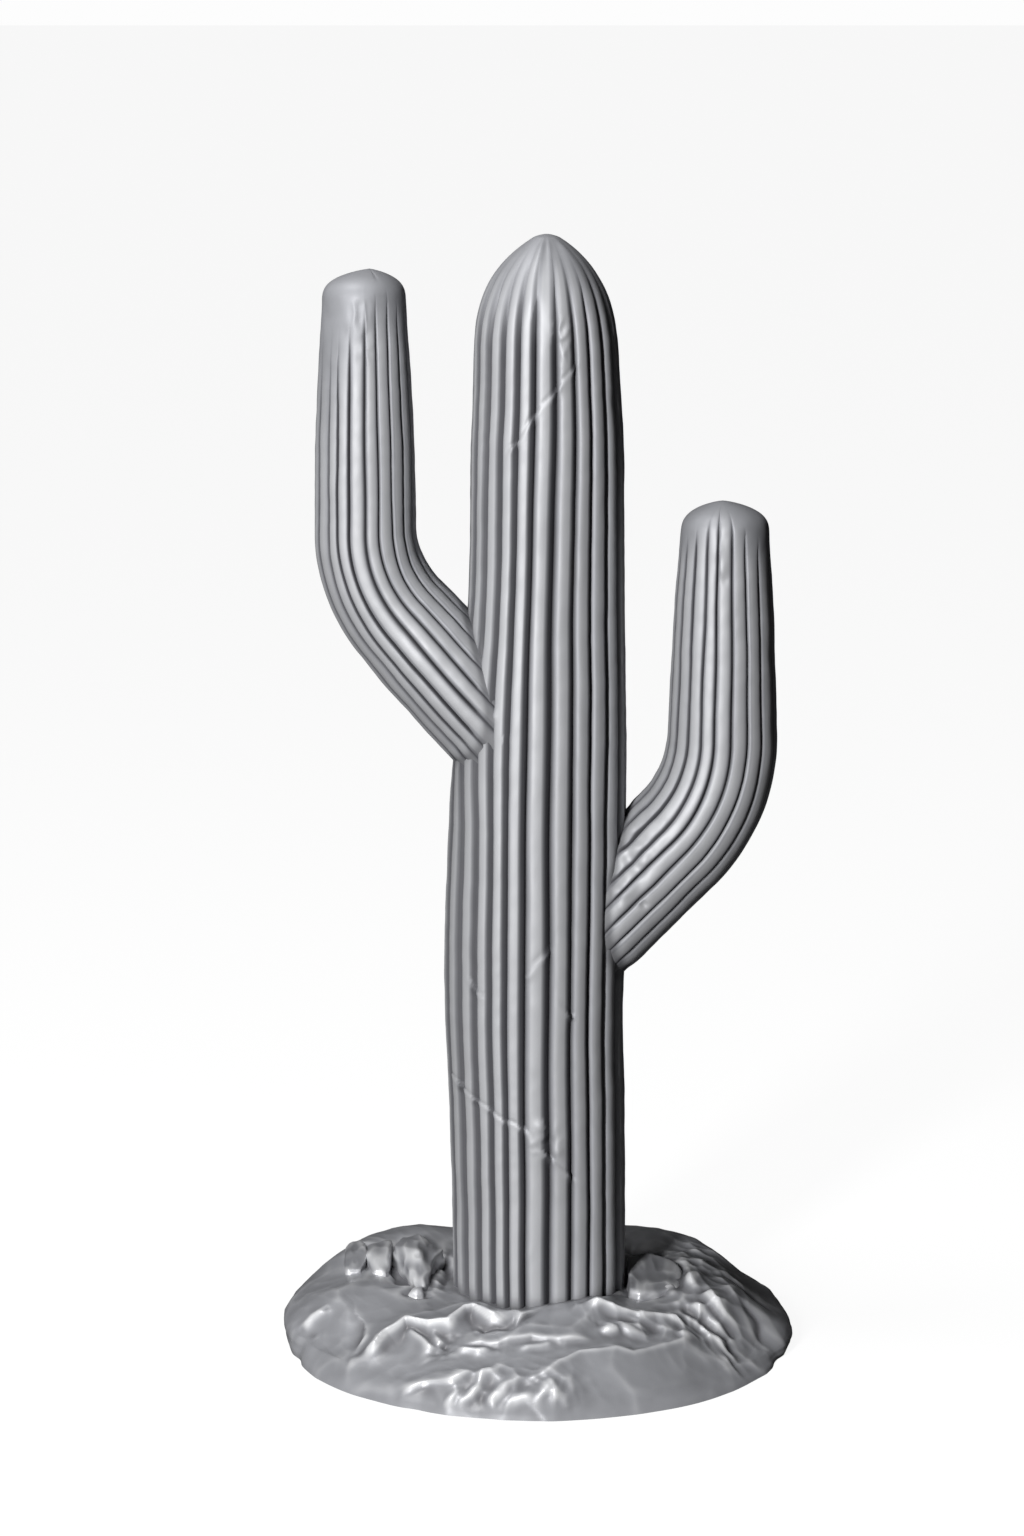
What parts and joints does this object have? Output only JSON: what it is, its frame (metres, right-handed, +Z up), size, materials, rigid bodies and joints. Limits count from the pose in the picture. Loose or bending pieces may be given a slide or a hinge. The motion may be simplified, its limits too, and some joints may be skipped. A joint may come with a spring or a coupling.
{
  "type": "cactus statue",
  "caption": "Free-standing cast cactus figure: a ribbed trunk with a pointed top and two upturned arms, on a low round base modelled as rock.",
  "frame": {"origin": "on the flat underside of the base, at the centre of its round outline", "axes": "+Z up along the trunk, the front towards -Y, the higher arm on the -X side and the lower arm on the +X side"},
  "size_m": [0.5581, 0.555, 1.2],
  "materials": {
    "figure_grey": "satin grey resin with a sheen on the ribs, darker in the grooves",
    "rock_grey": "satin grey resin with brighter worn crests and dust in the hollows"
  },
  "bodies": {
    "root": {"base": "rock_grey", "trunk": "figure_grey", "left_arm_lower": "figure_grey", "left_arm_upper": "figure_grey", "right_arm_lower": "figure_grey", "right_arm_upper": "figure_grey"}
  },
  "joints": []
}
